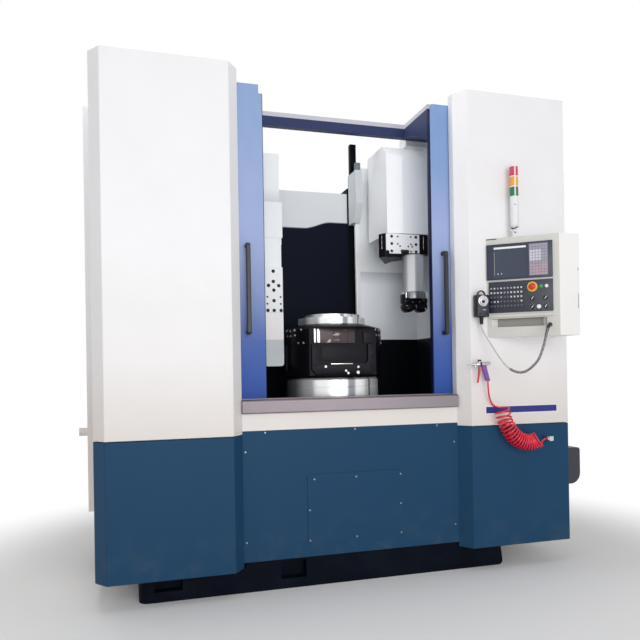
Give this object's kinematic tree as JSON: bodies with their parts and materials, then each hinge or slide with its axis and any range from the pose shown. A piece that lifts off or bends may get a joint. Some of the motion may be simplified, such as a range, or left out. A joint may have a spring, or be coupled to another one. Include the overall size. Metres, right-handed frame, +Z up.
{
  "type": "vertical turning lathe",
  "caption": "Enclosed vertical turning lathe with two sliding doors, a chuck, two tool posts, a swivelled control box, a signal tower, a handwheel pendant and an air gun on a curly hose.",
  "frame": {"origin": "on the floor under the spindle axis, on the underside of the base casting", "axes": "+Z up, -Y towards the operator at the front, +X to the operator's right"},
  "size_m": [3.1983, 1.8433, 2.92],
  "materials": {
    "white_paint": "satin powder coat",
    "blue_paint": "satin powder coat",
    "door_blue": "satin powder coat",
    "navy_casting": "painted casting",
    "stainless": "brushed",
    "machined_steel": "turned",
    "chuck_black": "blackened",
    "black_plastic": "matt",
    "black_sheet": "matt",
    "dark_grey": "satin",
    "hose_red": "glossy",
    "window_glass": "clear"
  },
  "bodies": {
    "frame": {"left_front_cover_upper": "white_paint", "right_front_cover_upper": "white_paint", "left_cabinet": "white_paint", "right_cabinet": "white_paint", "apron_top_strip": "white_paint", "left_column_cover": "white_paint", "right_column_cover": "white_paint", "control_box": "white_paint", "signal_tower": "white_paint", "left_front_cover_lower": "blue_paint", "right_front_cover_lower": "blue_paint", "front_apron": "blue_paint", "inspection_hatch": "blue_paint", "top_frame": "door_blue", "base_casting": "navy_casting", "left_column": "navy_casting", "right_column": "navy_casting", "sill": "stainless", "hose_fitting": "stainless", "spindle_housing": "machined_steel", "pendant": "black_plastic", "pendant_cable": "black_plastic", "cable_gland": "black_plastic", "back_panel": "black_sheet", "display_unit": "dark_grey", "operator_panel": "dark_grey", "side_motor": "dark_grey", "air_gun": "hose_red", "air_hose": "hose_red", "air_hose_coil": "hose_red"},
    "left_door": {"left_sliding_door": "door_blue", "left_door_window": "window_glass", "left_door_handle": "black_plastic"},
    "right_door": {"right_sliding_door": "door_blue", "right_door_window": "window_glass", "right_door_handle": "black_plastic"},
    "chuck": {"chuck_body": "chuck_black", "chuck_face_plate": "machined_steel"},
    "right_ram": {"right_ram_housing": "white_paint"},
    "turret_head": {"turret": "chuck_black", "turret_face_plate": "white_paint", "boring_bar_sleeve": "chuck_black"},
    "left_post": {"left_slide_cover": "white_paint", "left_tool_block": "white_paint", "left_tool_holder": "white_paint"}
  },
  "joints": [
    {"name": "left_door_slide", "type": "slide", "parent": "frame", "child": "left_door", "axis": [1, 0, 0], "range_m": [0, 0.512]},
    {"name": "right_door_slide", "type": "slide", "parent": "frame", "child": "right_door", "axis": [-1, 0, 0], "range_m": [0, 0.527]},
    {"name": "chuck_spin", "type": "hinge", "parent": "frame", "child": "chuck", "pos_m": [0, 0, 1.187], "axis": [0, 0, 1], "continuous": true},
    {"name": "right_ram_slide", "type": "slide", "parent": "frame", "child": "right_ram", "axis": [0, 0, 1], "range_m": [-0.45, 0.05]},
    {"name": "turret_index", "type": "hinge", "parent": "right_ram", "child": "turret_head", "pos_m": [0.52, 0.07, 2.135], "axis": [0, 0, 1], "continuous": true},
    {"name": "left_post_slide", "type": "slide", "parent": "frame", "child": "left_post", "axis": [0, 0, 1], "range_m": [-0.25, 0.15]}
  ]
}
